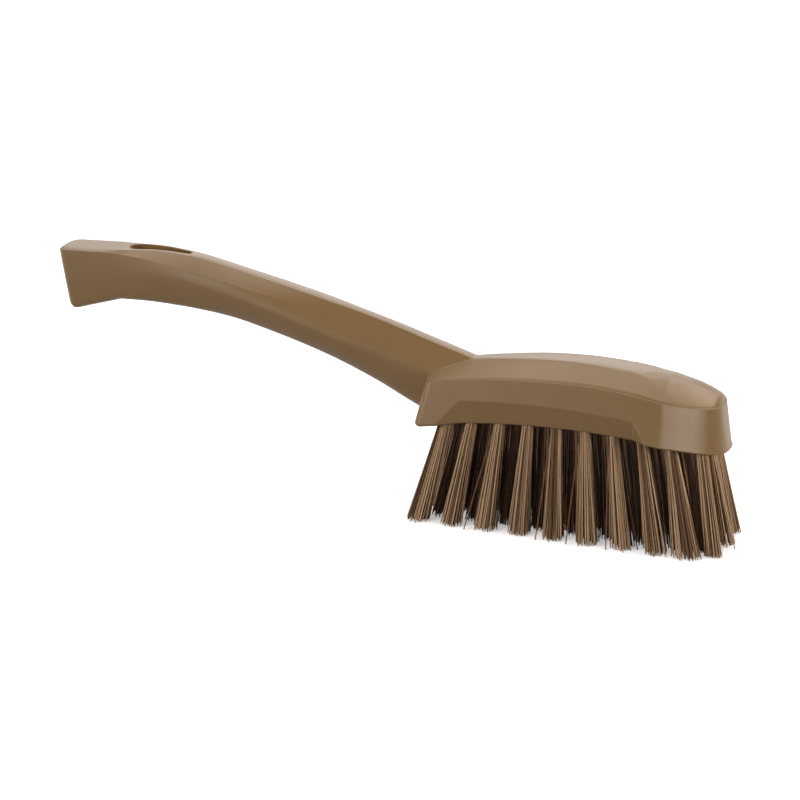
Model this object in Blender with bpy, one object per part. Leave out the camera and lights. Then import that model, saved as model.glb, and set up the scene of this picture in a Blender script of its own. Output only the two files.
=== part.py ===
"""A short-handled hand scrub brush: one moulded block and handle, and leaning tufts set in blind holes.

Metres, +Z up. The tips of the bristles stand on z = 0, the handle runs back along -X, and +X is the nose.
Lengths along the block are measured from its datum, the point halfway along the near row of tufts.
"""

import math
import random

import bmesh
import bpy
from mathutils import Vector

# Block, seen in plan. The rim is its lower edge, and the shoulder its upper one.
RIM_REAR = -0.0562
RIM_FRONT = 0.0613
RIM_HALF_WIDTH = 0.0170
SIDE_DRAFT = 0.0025
REAR_DRAFT = 0.0039
FRONT_DRAFT = 0.0028
REAR_CORNER_RADIUS = 0.0026
NOSE_START = 0.0392
NOSE_HALF_WIDTH = 0.0125
NOSE_CORNER_REACH = 0.0205

# Block heights, above the tips of the bristles.
RIM_HEIGHT = 0.0427
RIM_CREST = 0.0050
RIM_ARCH_RADIUS = 0.345
SHOULDER_LINE = (
    (-0.0562, 0.0532),
    (-0.0420, 0.0561),
    (-0.0230, 0.0586),
    (0.0070, 0.0600),
    (0.0240, 0.0590),
    (0.0400, 0.0568),
    (0.0500, 0.0557),
    (0.0585, 0.0550),
)
EDGE_ROUND = 0.0007

# Top facet: (distance along the block, half width, height of its edge).
TOP_REAR = -0.0515
TOP_FRONT = 0.0548
TOP_CROWN = 0.0003
TOP_FACET = (
    (-0.0515, 0.0017, 0.0579),
    (-0.0470, 0.0020, 0.0592),
    (-0.0375, 0.0027, 0.0611),
    (-0.0250, 0.0038, 0.0630),
    (-0.0100, 0.0049, 0.0647),
    (0.0050, 0.0056, 0.0654),
    (0.0180, 0.0061, 0.0650),
    (0.0285, 0.0064, 0.0641),
    (0.0335, 0.0080, 0.0632),
    (0.0400, 0.0096, 0.0618),
)
NOSE_TOP_DROP = 0.0048
NOSE_CROWN = 0.0015
CROWN_RISE_LENGTH = 0.0100
CROWN_FADE_LENGTH = 0.0080

# Grip recess along the lower side wall.
RECESS_REAR = -0.0380
RECESS_FRONT = 0.0285
RECESS_REAR_RAMP = 0.0070
RECESS_FRONT_RAMP = 0.0049
RECESS_DEPTH = 0.0018
RECESS_RISE_REAR = 0.0088
RECESS_RISE_FRONT = 0.0073

# Handle, by its distance back from the valley where it meets the block's top.
VALLEY = -0.0375
HANDLE_LENGTH = 0.1696
TOP_LINE = (
    (-0.0065, 0.0589),
    (0.0000, 0.0612),
    (0.0163, 0.0660),
    (0.0306, 0.0703),
    (0.0450, 0.0742),
    (0.0665, 0.0794),
    (0.0965, 0.0857),
    (0.1110, 0.0885),
    (0.1200, 0.0895),
    (0.1300, 0.0899),
    (0.1425, 0.0892),
    (0.1540, 0.0884),
    (0.1696, 0.0876),
)
UNDER_LINE = (
    (-0.0065, 0.0480),
    (0.0040, 0.0440),
    (0.0120, 0.0405),
    (0.0187, 0.0391),
    (0.0223, 0.0402),
    (0.0375, 0.0478),
    (0.0521, 0.0540),
    (0.0669, 0.0590),
    (0.0838, 0.0637),
    (0.0965, 0.0666),
    (0.1115, 0.0684),
    (0.1300, 0.0693),
    (0.1451, 0.0690),
)
TOE_DROP = 0.0059
TOE_RADIUS = 0.0027
END_SLANT = 0.165
STRIP_HALF_WIDTH = (
    (-0.0065, 0.0022),
    (0.0160, 0.0025),
    (0.0450, 0.0023),
    (0.0600, 0.0029),
    (0.1110, 0.0031),
    (0.1300, 0.0040),
    (0.1450, 0.0054),
    (0.1696, 0.0056),
)
BEVEL_HALF_WIDTH = (
    (-0.0065, 0.0045),
    (0.0160, 0.0048),
    (0.0450, 0.0054),
    (0.0670, 0.0068),
    (0.0820, 0.0078),
    (0.1000, 0.0082),
    (0.1425, 0.0080),
    (0.1696, 0.0074),
)
BEVEL_DROP = (
    (-0.0065, 0.0042),
    (0.0450, 0.0046),
    (0.0965, 0.0045),
    (0.1130, 0.0047),
    (0.1295, 0.0029),
    (0.1425, 0.0010),
    (0.1500, 0.0004),
    (0.1696, 0.0003),
)
BELLY_HALF_WIDTH = (
    (-0.0065, 0.0072),
    (0.0160, 0.0080),
    (0.0520, 0.0088),
    (0.0965, 0.0094),
    (0.1300, 0.0090),
    (0.1500, 0.0085),
    (0.1696, 0.0079),
)
BELLY_DROP = (
    (-0.0065, 0.0085),
    (0.0160, 0.0105),
    (0.0450, 0.0112),
    (0.0965, 0.0095),
    (0.1696, 0.0090),
)
FOOT_HALF_WIDTH = (
    (-0.0065, 0.0036),
    (0.0200, 0.0040),
    (0.0520, 0.0052),
    (0.0965, 0.0062),
    (0.1300, 0.0066),
    (0.1696, 0.0068),
)
FOOT_RADIUS = 0.0030
STRIP_CROWN = 0.0002

# Hanging slot, by its distance in from the hook end.
SLOT_END = 0.0277
SLOT_LENGTH = 0.0260
SLOT_WIDE_RADIUS = 0.0036
SLOT_NARROW_RADIUS = 0.0016

# Tufts, set in staggered rows between margins to the rim. One more stands in the nose, past each row.
TUFTS_IN_ROW = 9
REAR_MARGIN = 0.0112
SIDE_MARGIN = 0.0052
LAST_PAST_NOSE_START = 0.0030
NOSE_TUFT_INWARD = 0.0030
FIRST_TUFT = RIM_REAR + REAR_MARGIN
TUFT_PITCH = (NOSE_START + LAST_PAST_NOSE_START - FIRST_TUFT) / (TUFTS_IN_ROW - 1)
ROW_PITCH = (RIM_HALF_WIDTH - SIDE_MARGIN) / 2
HOLE_RADIUS = 0.0023
HOLE_DEPTH = 0.0125
TUFT_CLEARANCE = 0.0003
ANCHOR_ROOM = 0.0015
STRANDS_PER_TUFT = 8
STRAND_GAP = 0.00022
LEAN_ALONG = (
    (-0.0450, -0.0085),
    (0.0000, 0.0014),
    (0.0320, 0.0082),
    (0.0430, 0.0086),
    (0.0540, 0.0066),
)
SPLAY_SHARE = 0.44
TUFT_SPREAD = 0.0043
OUTER_SHARE = 0.95
INNER_SHARE = 0.42
NEIGHBOUR_SHARE = 0.42
HOLE_SIDES = 10

NODE_EDGE_ANGLE = math.radians(35)


def clear_scene():
    """Removes every object of the open scene."""
    for obj in list(bpy.data.objects):
        bpy.data.objects.remove(obj, do_unlink=True)


def smooth(points, at):
    """Height of a smooth curve through the points, which are (distance, value), at one distance."""
    last = len(points) - 1
    if at <= points[0][0]:
        return points[0][1]
    if at >= points[last][0]:
        return points[last][1]
    i = max(k for k in range(last) if points[k][0] <= at)

    def slope(k):
        before, after = points[max(k - 1, 0)], points[min(k + 1, last)]
        return (after[1] - before[1]) / (after[0] - before[0])

    (x0, y0), (x1, y1) = points[i], points[i + 1]
    span = x1 - x0
    t = (at - x0) / span
    start = (1 + 2 * t) * (1 - t) ** 2 * y0 + t * (1 - t) ** 2 * span * slope(i)
    end = t * t * (3 - 2 * t) * y1 - t * t * (1 - t) * span * slope(i + 1)
    return start + end


def mix(a, b, share):
    return a + (b - a) * share


def material(name, colour, roughness):
    """A plain Principled finish."""
    made = bpy.data.materials.new(name)
    made.use_nodes = True
    shader = made.node_tree.nodes["Principled BSDF"]
    shader.inputs["Base Color"].default_value = (*colour, 1.0)
    shader.inputs["Roughness"].default_value = roughness
    shader.inputs["Metallic"].default_value = 0.0
    return made


def add_object(name, bm, finish=None):
    """Turns a bmesh into a smooth-shaded object with outward faces."""
    bmesh.ops.recalc_face_normals(bm, faces=bm.faces)
    mesh = bpy.data.meshes.new(name)
    bm.to_mesh(mesh)
    bm.free()
    mesh.shade_smooth()
    mesh.set_sharp_from_angle(angle=NODE_EDGE_ANGLE)
    obj = bpy.data.objects.new(name, mesh)
    bpy.context.scene.collection.objects.link(obj)
    if finish:
        mesh.materials.append(finish)
    return obj


def combine(target, tool, operation):
    """Joins the tool to the target, or cuts it away, and removes the tool."""
    tool.hide_render = True
    tool.display_type = "WIRE"
    step = target.modifiers.new(operation.lower(), "BOOLEAN")
    step.operation = operation
    step.solver = "EXACT"
    step.object = tool
    graph = bpy.context.evaluated_depsgraph_get()
    result = bpy.data.meshes.new_from_object(target.evaluated_get(graph))
    target.modifiers.clear()
    target.data = result
    bpy.data.objects.remove(tool, do_unlink=True)


def bridge(bm, lower, upper):
    """A band of faces between two closed rings of as many vertices."""
    count = len(lower)
    for i in range(count):
        j = (i + 1) % count
        bm.faces.new((lower[i], lower[j], upper[j], upper[i]))


def bridge_recessed(bm, lower, upper, cut):
    """The same, where a ring's cut vertices slope in and each ramp beside them is a triangle."""
    count = len(lower)
    for i in range(count):
        j = (i + 1) % count
        if cut[i] and not cut[j]:
            bm.faces.new((lower[i], lower[j], upper[i]))
            bm.faces.new((lower[j], upper[j], upper[i]))
        elif cut[j] and not cut[i]:
            bm.faces.new((lower[i], lower[j], upper[j]))
            bm.faces.new((lower[i], upper[j], upper[i]))
        else:
            bm.faces.new((lower[i], lower[j], upper[j], upper[i]))


def rim_height(x):
    """Height of the block's arched lower edge."""
    return RIM_HEIGHT - (x - RIM_CREST) ** 2 / (2 * RIM_ARCH_RADIUS)


def side_stations():
    """Distances along the block at which its straight sides have vertices."""
    ramp_rear = RECESS_REAR - RECESS_REAR_RAMP
    ramp_front = RECESS_FRONT + RECESS_FRONT_RAMP
    bays = 7
    between = [mix(RECESS_REAR, RECESS_FRONT, k / bays) for k in range(1, bays)]
    return [ramp_rear, RECESS_REAR, *between, RECESS_FRONT, ramp_front, NOSE_START]


def bezier(a, b, c, d, t):
    """A point on a cubic curve in plan."""
    u = 1 - t
    weights = (u**3, 3 * u * u * t, 3 * u * t * t, t**3)
    return tuple(sum(w * p[k] for w, p in zip(weights, (a, b, c, d))) for k in (0, 1))


def half_outline(rear, half_width, front, nose_half_width, corner):
    """One side of a ring in plan, (x, distance out), from its rear centre to its front centre."""
    points = [(rear, 0.0), (rear, half_width * 0.45)]
    for k in range(4):
        angle = math.pi / 2 * k / 3
        out = half_width - corner + corner * math.sin(angle)
        points.append((rear + corner - corner * math.cos(angle), out))
    points += [(x, half_width) for x in side_stations()]
    start = (NOSE_START, half_width)
    turn = (NOSE_START + NOSE_CORNER_REACH, nose_half_width)
    blunt = (front, nose_half_width * 0.62)
    steps = 9
    points += [bezier(start, turn, blunt, (front, 0.0), k / steps) for k in range(1, steps + 1)]
    return points


def recessed(x):
    """Whether the grip recess is cut at one distance along the block."""
    return RECESS_REAR - 1e-9 <= x <= RECESS_FRONT + 1e-9


def crown_share(x, fade):
    """How much of the nose's crown one distance along the block has, 0 to 1. It can fade out at the front."""
    rising = min(max((x - RECESS_FRONT) / CROWN_RISE_LENGTH, 0.0), 1.0)
    fading = min(max((TOP_FRONT - x) / CROWN_FADE_LENGTH, 0.0), 1.0)
    return rising * mix(1.0, fading, fade)


def top_outline(count_like):
    """The edge of the top facet, matched point for point to the ring given: (x, distance out, height)."""
    widths = [(x, w) for x, w, _ in TOP_FACET]
    heights = [(x, h) for x, _, h in TOP_FACET]
    points = []
    shoulder = RIM_HALF_WIDTH - SIDE_DRAFT
    for x, out in count_like:
        if x < RECESS_REAR - RECESS_REAR_RAMP - 1e-9:
            points.append((TOP_REAR, TOP_FACET[0][1] * out / shoulder, TOP_FACET[0][2]))
        elif x <= NOSE_START + 1e-9:
            points.append((x, smooth(widths, x), smooth(heights, x)))
    start, edge = TOP_FACET[-1][:2], TOP_FACET[-1][2]
    steps = len(count_like) - len(points)
    for k in range(1, steps + 1):
        t = k / steps
        corner = (mix(NOSE_START, TOP_FRONT, 0.62), start[1])
        x, out = bezier(start, corner, (TOP_FRONT, start[1] * 0.55), (TOP_FRONT, 0.0), t)
        reach = (x - NOSE_START) / (TOP_FRONT - NOSE_START)
        points.append((x, out, edge - NOSE_TOP_DROP * (0.35 * reach + 0.65 * reach**2)))
    return points


def mirrored(half):
    """A closed ring from its half: down one side and back along the other."""
    near = [(x, -out, z) for x, out, z in half]
    far = [(x, out, z) for x, out, z in half[-2:0:-1]]
    return near + far


def block_rings():
    """The block's rings of points, from the underside up to the edge of the top facet."""
    rim = half_outline(RIM_REAR, RIM_HALF_WIDTH, RIM_FRONT, NOSE_HALF_WIDTH, REAR_CORNER_RADIUS)
    shoulder = half_outline(
        RIM_REAR + REAR_DRAFT,
        RIM_HALF_WIDTH - SIDE_DRAFT,
        RIM_FRONT - FRONT_DRAFT,
        NOSE_HALF_WIDTH - SIDE_DRAFT,
        REAR_CORNER_RADIUS,
    )
    top = top_outline(shoulder)
    rear_width = RIM_HALF_WIDTH - SIDE_DRAFT
    middle = (RIM_REAR + RIM_FRONT) / 2
    inward = 1 - EDGE_ROUND / RIM_HALF_WIDTH
    under, edge, line, wall, round_over, roof = [], [], [], [], [], []
    for (xr, yr), (xs, ys), (xt, yt, zt) in zip(rim, shoulder, top):
        zr, zs = rim_height(xr), smooth(SHOULDER_LINE, xs)
        if xs < TOP_REAR:
            zs = mix(zt - EDGE_ROUND, zs, min(1.0, ys / rear_width))
        along = min(max((xr - RECESS_REAR) / (RECESS_FRONT - RECESS_REAR), 0.0), 1.0)
        rise = mix(RECESS_RISE_REAR, RECESS_RISE_FRONT, along) / (zs - zr)
        cut = RECESS_DEPTH if recessed(xr) else 0.0
        under.append((mix(xr, middle, EDGE_ROUND / (RIM_FRONT - middle)), (yr - cut) * inward, zr))
        edge.append((xr, yr - cut, zr + EDGE_ROUND))
        line.append((mix(xr, xs, rise), mix(yr, ys, rise), mix(zr, zs, rise)))
        near_top = 1 - EDGE_ROUND / (zs - zr)
        wall.append((mix(xr, xs, near_top), mix(yr, ys, near_top), mix(zr, zs, near_top)))
        over = min(0.3, EDGE_ROUND / math.dist((xs, ys, zs), (xt, yt, zt)))
        round_over.append((mix(xs, xt, over), mix(ys, yt, over), mix(zs, zt, over)))
        bulge = NOSE_CROWN / 2 * crown_share(xt, 0.0)
        roof.append((mix(xs, xt, 0.5), mix(ys, yt, 0.5), mix(zs, zt, 0.5) + bulge))
    return [mirrored(half) for half in (under, edge, line, wall, round_over, roof, top)]


def add_across(bm, ring, height_at):
    """Closes a ring with faces that run across it, by way of a spine down its middle."""
    last = len(ring) // 2
    near = ring[: last + 1]
    far = [ring[0], *reversed(ring[last + 1 :]), ring[last]]
    first = next(i for i, v in enumerate(near) if i and v.co.x > near[1].co.x + REAR_CORNER_RADIUS * 2)
    spine = [bm.verts.new((v.co.x, 0.0, height_at(v))) for v in near[first:last]]
    middle = [near[0], *[spine[0]] * (first - 1), *spine, near[last]]
    for i in range(last):
        for side in (near, far):
            corners = (middle[i], middle[i + 1], side[i + 1], side[i])
            bm.faces.new(list(dict.fromkeys(corners)))


def make_block(finish):
    """The arched block with its drafted wall, grip recesses, sloping shoulders and domed nose."""
    bm = bmesh.new()
    made = [[bm.verts.new(point) for point in ring] for ring in block_rings()]
    cut = [recessed(vert.co.x) for vert in made[1]]
    for lower, upper in zip(made, made[1:]):
        if lower is made[1]:
            bridge_recessed(bm, lower, upper, cut)
        else:
            bridge(bm, lower, upper)

    add_across(bm, made[0], lambda vert: vert.co.z)
    add_across(bm, made[-1], lambda vert: vert.co.z + TOP_CROWN + NOSE_CROWN * crown_share(vert.co.x, 1.0))
    return add_object("block_and_handle", bm, finish)


def handle_section(at):
    """Half of the handle's cross-section at one distance back: (distance out, drop below the top line)."""
    top = smooth(TOP_LINE, at)
    corner = UNDER_LINE[-1][0]
    slant = END_SLANT * max(0.0, (at - corner) / (TOP_LINE[-1][0] - corner))
    under_at = at - slant * (top - UNDER_LINE[-1][1])
    if under_at > corner:
        bottom = UNDER_LINE[-1][1] - TOE_DROP * (under_at - corner) / (TOP_LINE[-1][0] - corner - TOE_RADIUS)
    else:
        bottom = smooth(UNDER_LINE, under_at)
    to_end = TOP_LINE[-1][0] - at
    if to_end < TOE_RADIUS:
        bottom += TOE_RADIUS * (1 - math.sqrt(1 - (1 - to_end / TOE_RADIUS) ** 2)) * 1.6
    depth = top - bottom
    strip = smooth(STRIP_HALF_WIDTH, at)
    bevel, bevel_drop = smooth(BEVEL_HALF_WIDTH, at), smooth(BEVEL_DROP, at)
    belly, belly_drop = smooth(BELLY_HALF_WIDTH, at), smooth(BELLY_DROP, at)
    foot = smooth(FOOT_HALF_WIDTH, at)
    heel = depth - FOOT_RADIUS
    half = [
        (0.0, -STRIP_CROWN),
        (strip * 0.6, -STRIP_CROWN * 0.6),
        (strip, 0.0),
        (mix(strip, bevel, 0.5), bevel_drop * 0.45),
        (bevel, bevel_drop),
        (mix(bevel, belly, 0.62), mix(bevel_drop, belly_drop, 0.45)),
        (belly, belly_drop),
        (mix(belly, foot, 0.22), mix(belly_drop, heel, 0.55)),
        (mix(belly, foot, 0.62), heel),
        (foot, depth - FOOT_RADIUS * 0.3),
        (foot * 0.6, depth),
        (0.0, depth),
    ]
    return half, top, slant


def handle_stations():
    """Distances back at which the handle has a ring of vertices."""
    buried = TOP_LINE[0][0]
    corner, end = UNDER_LINE[-1][0], TOP_LINE[-1][0]
    grip = [mix(buried, corner, k / 18) for k in range(18)]
    hook = [mix(corner, end - TOE_RADIUS, k / 4) for k in range(5)]
    toe = [end - TOE_RADIUS * (1 - math.sin(math.pi / 2 * k / 3)) for k in (1, 2, 3)]
    return grip + hook + toe


def handle_x(at):
    """Where a distance back from the valley lies along X."""
    return VALLEY - at * HANDLE_LENGTH / TOP_LINE[-1][0]


def make_handle():
    """The curved handle, from its root inside the block to the hooked end."""
    bm = bmesh.new()
    rings = []
    for at in handle_stations():
        half, top, slant = handle_section(at)
        points = half + [(-out, drop) for out, drop in half[-2:0:-1]]
        rings.append([bm.verts.new((handle_x(at) + slant * drop, out, top - drop)) for out, drop in points])
    for first, second in zip(rings, rings[1:]):
        bridge(bm, first, second)
    bm.faces.new(rings[0])
    bm.faces.new(rings[-1])
    return add_object("handle", bm)


def make_slot():
    """The cutter of the hanging slot: two round ends of unlike radius, joined by straight sides."""
    bm = bmesh.new()
    end = handle_x(TOP_LINE[-1][0])
    wide = end + SLOT_END + SLOT_WIDE_RADIUS
    narrow = end + SLOT_END + SLOT_LENGTH - SLOT_NARROW_RADIUS
    outline = []
    lean = math.asin((SLOT_WIDE_RADIUS - SLOT_NARROW_RADIUS) / (narrow - wide))
    for centre, radius, first, last in (
        (wide, SLOT_WIDE_RADIUS, math.pi / 2 - lean, 3 * math.pi / 2 + lean),
        (narrow, SLOT_NARROW_RADIUS, -math.pi / 2 + lean, math.pi / 2 - lean),
    ):
        steps = 8
        for k in range(steps + 1):
            angle = mix(first, last, k / steps)
            outline.append((centre + radius * math.cos(angle), radius * math.sin(angle)))
    crest = max(z for _, z in TOP_LINE)
    face = bm.faces.new([bm.verts.new((x, y, crest + HOLE_DEPTH)) for x, y in outline])
    bmesh.ops.recalc_face_normals(bm, faces=[face])
    drop = Vector((0.0, 0.0, -(crest - UNDER_LINE[-1][1] + 2 * HOLE_DEPTH)))
    extruded = bmesh.ops.extrude_face_region(bm, geom=[face])
    lowered = [item for item in extruded["geom"] if isinstance(item, bmesh.types.BMVert)]
    bmesh.ops.translate(bm, verts=lowered, vec=drop)
    return add_object("slot", bm)


def tuft_roots():
    """Names and places in plan of the tufts, row by row."""
    rows = [("tuft_centre", 0.0, 0.0, 0.0)]
    for side, sign in (("near", -1), ("far", 1)):
        rows.append((f"tuft_inner_{side}", TUFT_PITCH / 2, sign * ROW_PITCH, 0.0))
        rows.append((f"tuft_outer_{side}", 0.0, sign * 2 * ROW_PITCH, sign * NOSE_TUFT_INWARD))
    roots = []
    for name, stagger, y, inward in rows:
        places = [(FIRST_TUFT + stagger + k * TUFT_PITCH, y) for k in range(TUFTS_IN_ROW)]
        if stagger == 0.0:
            places.append((places[-1][0] + TUFT_PITCH, y - inward))
        roots += [(f"{name}_{k + 1:02d}", *place) for k, place in enumerate(places)]
    return roots


def tuft_axis(x, y):
    """The mouth of a tuft's hole, the middle of its tips, and the direction from one to the other."""
    mouth = Vector((x, y, rim_height(x)))
    tip = Vector((x + smooth(LEAN_ALONG, x), y * (1 + SPLAY_SHARE), 0.0))
    return mouth, tip, (tip - mouth).normalized()


def ring_about(centre, axis, radius, sides, turn=0.0):
    """Points of a regular polygon about an axis."""
    across = axis.cross(Vector((0.0, 1.0, 0.0))).normalized()
    up = axis.cross(across)
    angles = [turn + 2 * math.pi * k / sides for k in range(sides)]
    return [centre + radius * (across * math.cos(a) + up * math.sin(a)) for a in angles]


def make_holes(roots):
    """The cutter of every tuft hole: leaning prisms, drilled up from the underside."""
    bm = bmesh.new()
    for _, x, y in roots:
        mouth, _, axis = tuft_axis(x, y)
        rings = []
        for along in (HOLE_DEPTH / 4, -HOLE_DEPTH):
            ring = ring_about(mouth + axis * along, axis, HOLE_RADIUS, HOLE_SIDES)
            rings.append([bm.verts.new(point) for point in ring])
        bridge(bm, *rings)
        for ring in rings:
            bm.faces.new(ring)
    return add_object("holes", bm)


def make_tuft(name, x, y, spread, finish):
    """One tuft: a packed root in its hole, and strands that fan out to tips trimmed level."""
    mouth, tip, axis = tuft_axis(x, -abs(y))
    draw = random.Random(name.replace("far", "near"))
    bm = bmesh.new()
    radius = HOLE_RADIUS - TUFT_CLEARANCE
    root = [bm.verts.new(p) for p in ring_about(mouth, axis, radius, STRANDS_PER_TUFT)]
    fold = ring_about(mouth - axis * (HOLE_DEPTH - ANCHOR_ROOM), axis, radius, STRANDS_PER_TUFT)
    top = [bm.verts.new(p) for p in fold]
    bridge(bm, root, top)
    bm.faces.new(top)
    hub = bm.verts.new(mouth)
    cells = [bm.faces.new((root[k], root[k - 1], hub)) for k in range(STRANDS_PER_TUFT)]
    bmesh.ops.recalc_face_normals(bm, faces=bm.faces)
    bmesh.ops.inset_individual(bm, faces=cells, thickness=STRAND_GAP, use_even_offset=True)
    strands = bmesh.ops.extrude_discrete_faces(bm, faces=cells)["faces"]
    for k, strand in enumerate(strands):
        centre = strand.calc_center_median()
        out = centre - mouth
        out.z = 0.0
        reach = spread * ((OUTER_SHARE, INNER_SHARE)[k % 2] + draw.uniform(-0.05, 0.05))
        target = tip + out.normalized() * reach
        for vert in strand.verts:
            place = target + (vert.co - centre)
            vert.co = Vector((place.x, place.y, 0.0))
    if y > 0:
        bmesh.ops.scale(bm, vec=(1.0, -1.0, 1.0), verts=bm.verts)
    return add_object(name, bm, finish)


def tip_spread(x, y, roots):
    """How far a tuft may fan out at its tips before it meets its nearest neighbour."""
    _, tip, _ = tuft_axis(x, y)
    others = [tuft_axis(a, b)[1] for _, a, b in roots if (a, b) != (x, y)]
    nearest = min((tip - other).length for other in others)
    return min(TUFT_SPREAD, NEIGHBOUR_SHARE * nearest)


def centre_on_origin(objects):
    """Parents everything to an empty and moves that so the whole stands centred on the origin."""
    bpy.context.view_layer.update()
    xs = [(obj.matrix_world @ v.co).x for obj in objects for v in obj.data.vertices]
    frame = bpy.data.objects.new("brush", None)
    bpy.context.scene.collection.objects.link(frame)
    for obj in objects:
        obj.parent = frame
    frame.location.x = -(min(xs) + max(xs)) / 2


def main():
    clear_scene()
    moulding = material("moulded_polypropylene", (0.235, 0.150, 0.092), 0.42)
    filament = material("polyester_filament", (0.260, 0.170, 0.110), 0.50)
    roots = tuft_roots()
    body = make_block(moulding)
    combine(body, make_handle(), "UNION")
    combine(body, make_slot(), "DIFFERENCE")
    combine(body, make_holes(roots), "DIFFERENCE")
    tufts = [make_tuft(name, x, y, tip_spread(x, y, roots), filament) for name, x, y in roots]
    centre_on_origin([body, *tufts])


main()
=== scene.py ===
"""The looks of a short-handled scrub brush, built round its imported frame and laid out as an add-on.

Sizes in the tables below are millimetres. Along the brush they are measured from the block's datum,
halfway along the near row of tufts; the frame says where that datum lies.
"""

import math
import random

import bmesh
import bpy
from bpy.props import FloatProperty, FloatVectorProperty, IntProperty, PointerProperty
from bpy.types import Operator, Panel, PropertyGroup
from mathutils import Matrix, Vector


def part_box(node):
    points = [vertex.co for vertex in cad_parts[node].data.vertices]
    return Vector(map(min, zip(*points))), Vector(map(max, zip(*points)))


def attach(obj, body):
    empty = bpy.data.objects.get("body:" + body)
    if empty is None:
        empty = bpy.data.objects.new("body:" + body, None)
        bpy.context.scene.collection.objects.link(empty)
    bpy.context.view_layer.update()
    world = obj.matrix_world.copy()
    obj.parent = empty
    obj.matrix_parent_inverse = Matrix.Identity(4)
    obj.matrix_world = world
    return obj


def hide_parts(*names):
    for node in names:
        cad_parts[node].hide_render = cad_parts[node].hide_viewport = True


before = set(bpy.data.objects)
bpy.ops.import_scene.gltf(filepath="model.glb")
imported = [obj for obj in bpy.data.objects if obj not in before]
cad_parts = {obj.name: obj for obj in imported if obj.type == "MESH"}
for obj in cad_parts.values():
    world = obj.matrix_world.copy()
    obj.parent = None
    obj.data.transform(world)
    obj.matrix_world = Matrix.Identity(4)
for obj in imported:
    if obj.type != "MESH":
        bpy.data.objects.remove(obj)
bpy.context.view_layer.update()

bl_info = {
    "name": "Scrub Brush",
    "version": (1, 0, 0),
    "blender": (4, 5, 0),
    "location": "3D View > Sidebar > Brush",
    "description": "Builds the moulding and the tufts of a scrub brush, and a studio to show it in",
    "category": "Object",
}

MM = 0.001
MOULDING_NODE = "block_and_handle"

# A length too small to matter, which tells points that lie together from points that don't.
TINY = 0.001

# Block in plan. The rim is its lower edge, and the shoulder its upper one.
RIM_REAR = -56.2
RIM_FRONT = 61.3
RIM_HALF_WIDTH = 17.0
SIDE_DRAFT = 2.5
REAR_DRAFT = 3.9
FRONT_DRAFT = 2.8
REAR_CORNER_RADIUS = 2.6
HEEL_RADIUS = 2.4
NOSE_START = 39.2
NOSE_HALF_WIDTH = 12.5
NOSE_CORNER_REACH = 20.5
NOSE_BLUNTNESS = 0.62

# Block heights above the tips of the bristles.
RIM_HEIGHT = 42.1
RIM_CREST = 5.0
RIM_ARCH_RADIUS = 330.0
SHOULDER_LINE = (
    (-56.2, 53.2),
    (-42.0, 56.1),
    (-23.0, 58.6),
    (7.0, 60.0),
    (24.0, 59.0),
    (40.0, 56.8),
    (50.0, 55.7),
    (58.5, 55.0),
)

# The wall ends in a fine lip with a groove behind it, at the foot of the roof. A bead of flash stands out along
# the mould's parting line, which follows the nose's rim and the top and front of the grip recess. The real bead
# is a few hundredths of a millimetre high, so it is drawn coarser to show.
LIP_WIDTH = 0.14
GROOVE_REACH = 0.5
GROOVE_DEPTH = 0.4
GROOVE_END = 0.64
BEAD_HEIGHT = 0.22
BEAD_WIDTH = 0.4

# Top facet: (distance along the block, half width, height of its edge).
TOP_REAR = -51.5
TOP_CROWN = 0.3
TOP_FACET = (
    (-51.5, 1.7, 57.9),
    (-47.0, 2.0, 59.2),
    (-37.5, 2.7, 61.1),
    (-25.0, 3.8, 63.0),
    (-10.0, 4.9, 64.7),
    (5.0, 5.6, 65.4),
    (18.0, 6.1, 65.0),
    (28.5, 6.4, 64.1),
    (33.5, 8.3, 62.4),
    (40.0, 10.7, 59.8),
)
NOSE_CROWN = 3.3
CROWN_RISE_LENGTH = 10.7

# Nose: the height of its dome down the middle. Its flat sides carry on from the roof's slopes and run out on
# the shoulder: their upper edge starts at one share of the half width and ends at another.
NOSE_LINE = (
    (39.2, 63.6),
    (47.0, 62.0),
    (52.0, 60.35),
    (55.0, 59.1),
    (57.3, 57.7),
    (58.5, 55.0),
)
NOSE_SIDES_END = 47.0
NOSE_EDGE_SHARES = (0.724, 0.99)
NOSE_RIB_SHARE = 0.9
NOSE_EDGE_INSET = 0.05
NOSE_BLEND = 0.5

# Height of a line through the middle of the block, which its ridges stand out from.
SPINE = 50.0

# The most of a facet's half width that the rounding of its edge takes.
EDGE_SHARE = 0.3

# Grip recess along the lower side wall.
RECESS_REAR = -38.0
RECESS_FRONT = 28.5
RECESS_REAR_RAMP = 9.4
RECESS_FRONT_RAMP = 4.9
RECESS_DEPTH = 2.7
RECESS_RISE_REAR = 9.4
RECESS_RISE_FRONT = 7.9

# Points along the parts of the outline and up the wall, the roof and the crown. Each ramp has as many as the
# wall, and the rear's own points lie over one share of its half width.
REAR_STEPS = 3
REAR_SHARE = 0.5
CORNER_STEPS = 8
HEEL_STEPS = 6
GRIP_STEPS = 96
CHEEK_STEPS = 9
NOSE_STEPS = 44
WALL_STEPS = 14
ROOF_STEPS = 8
CROWN_STEPS = 5

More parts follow.
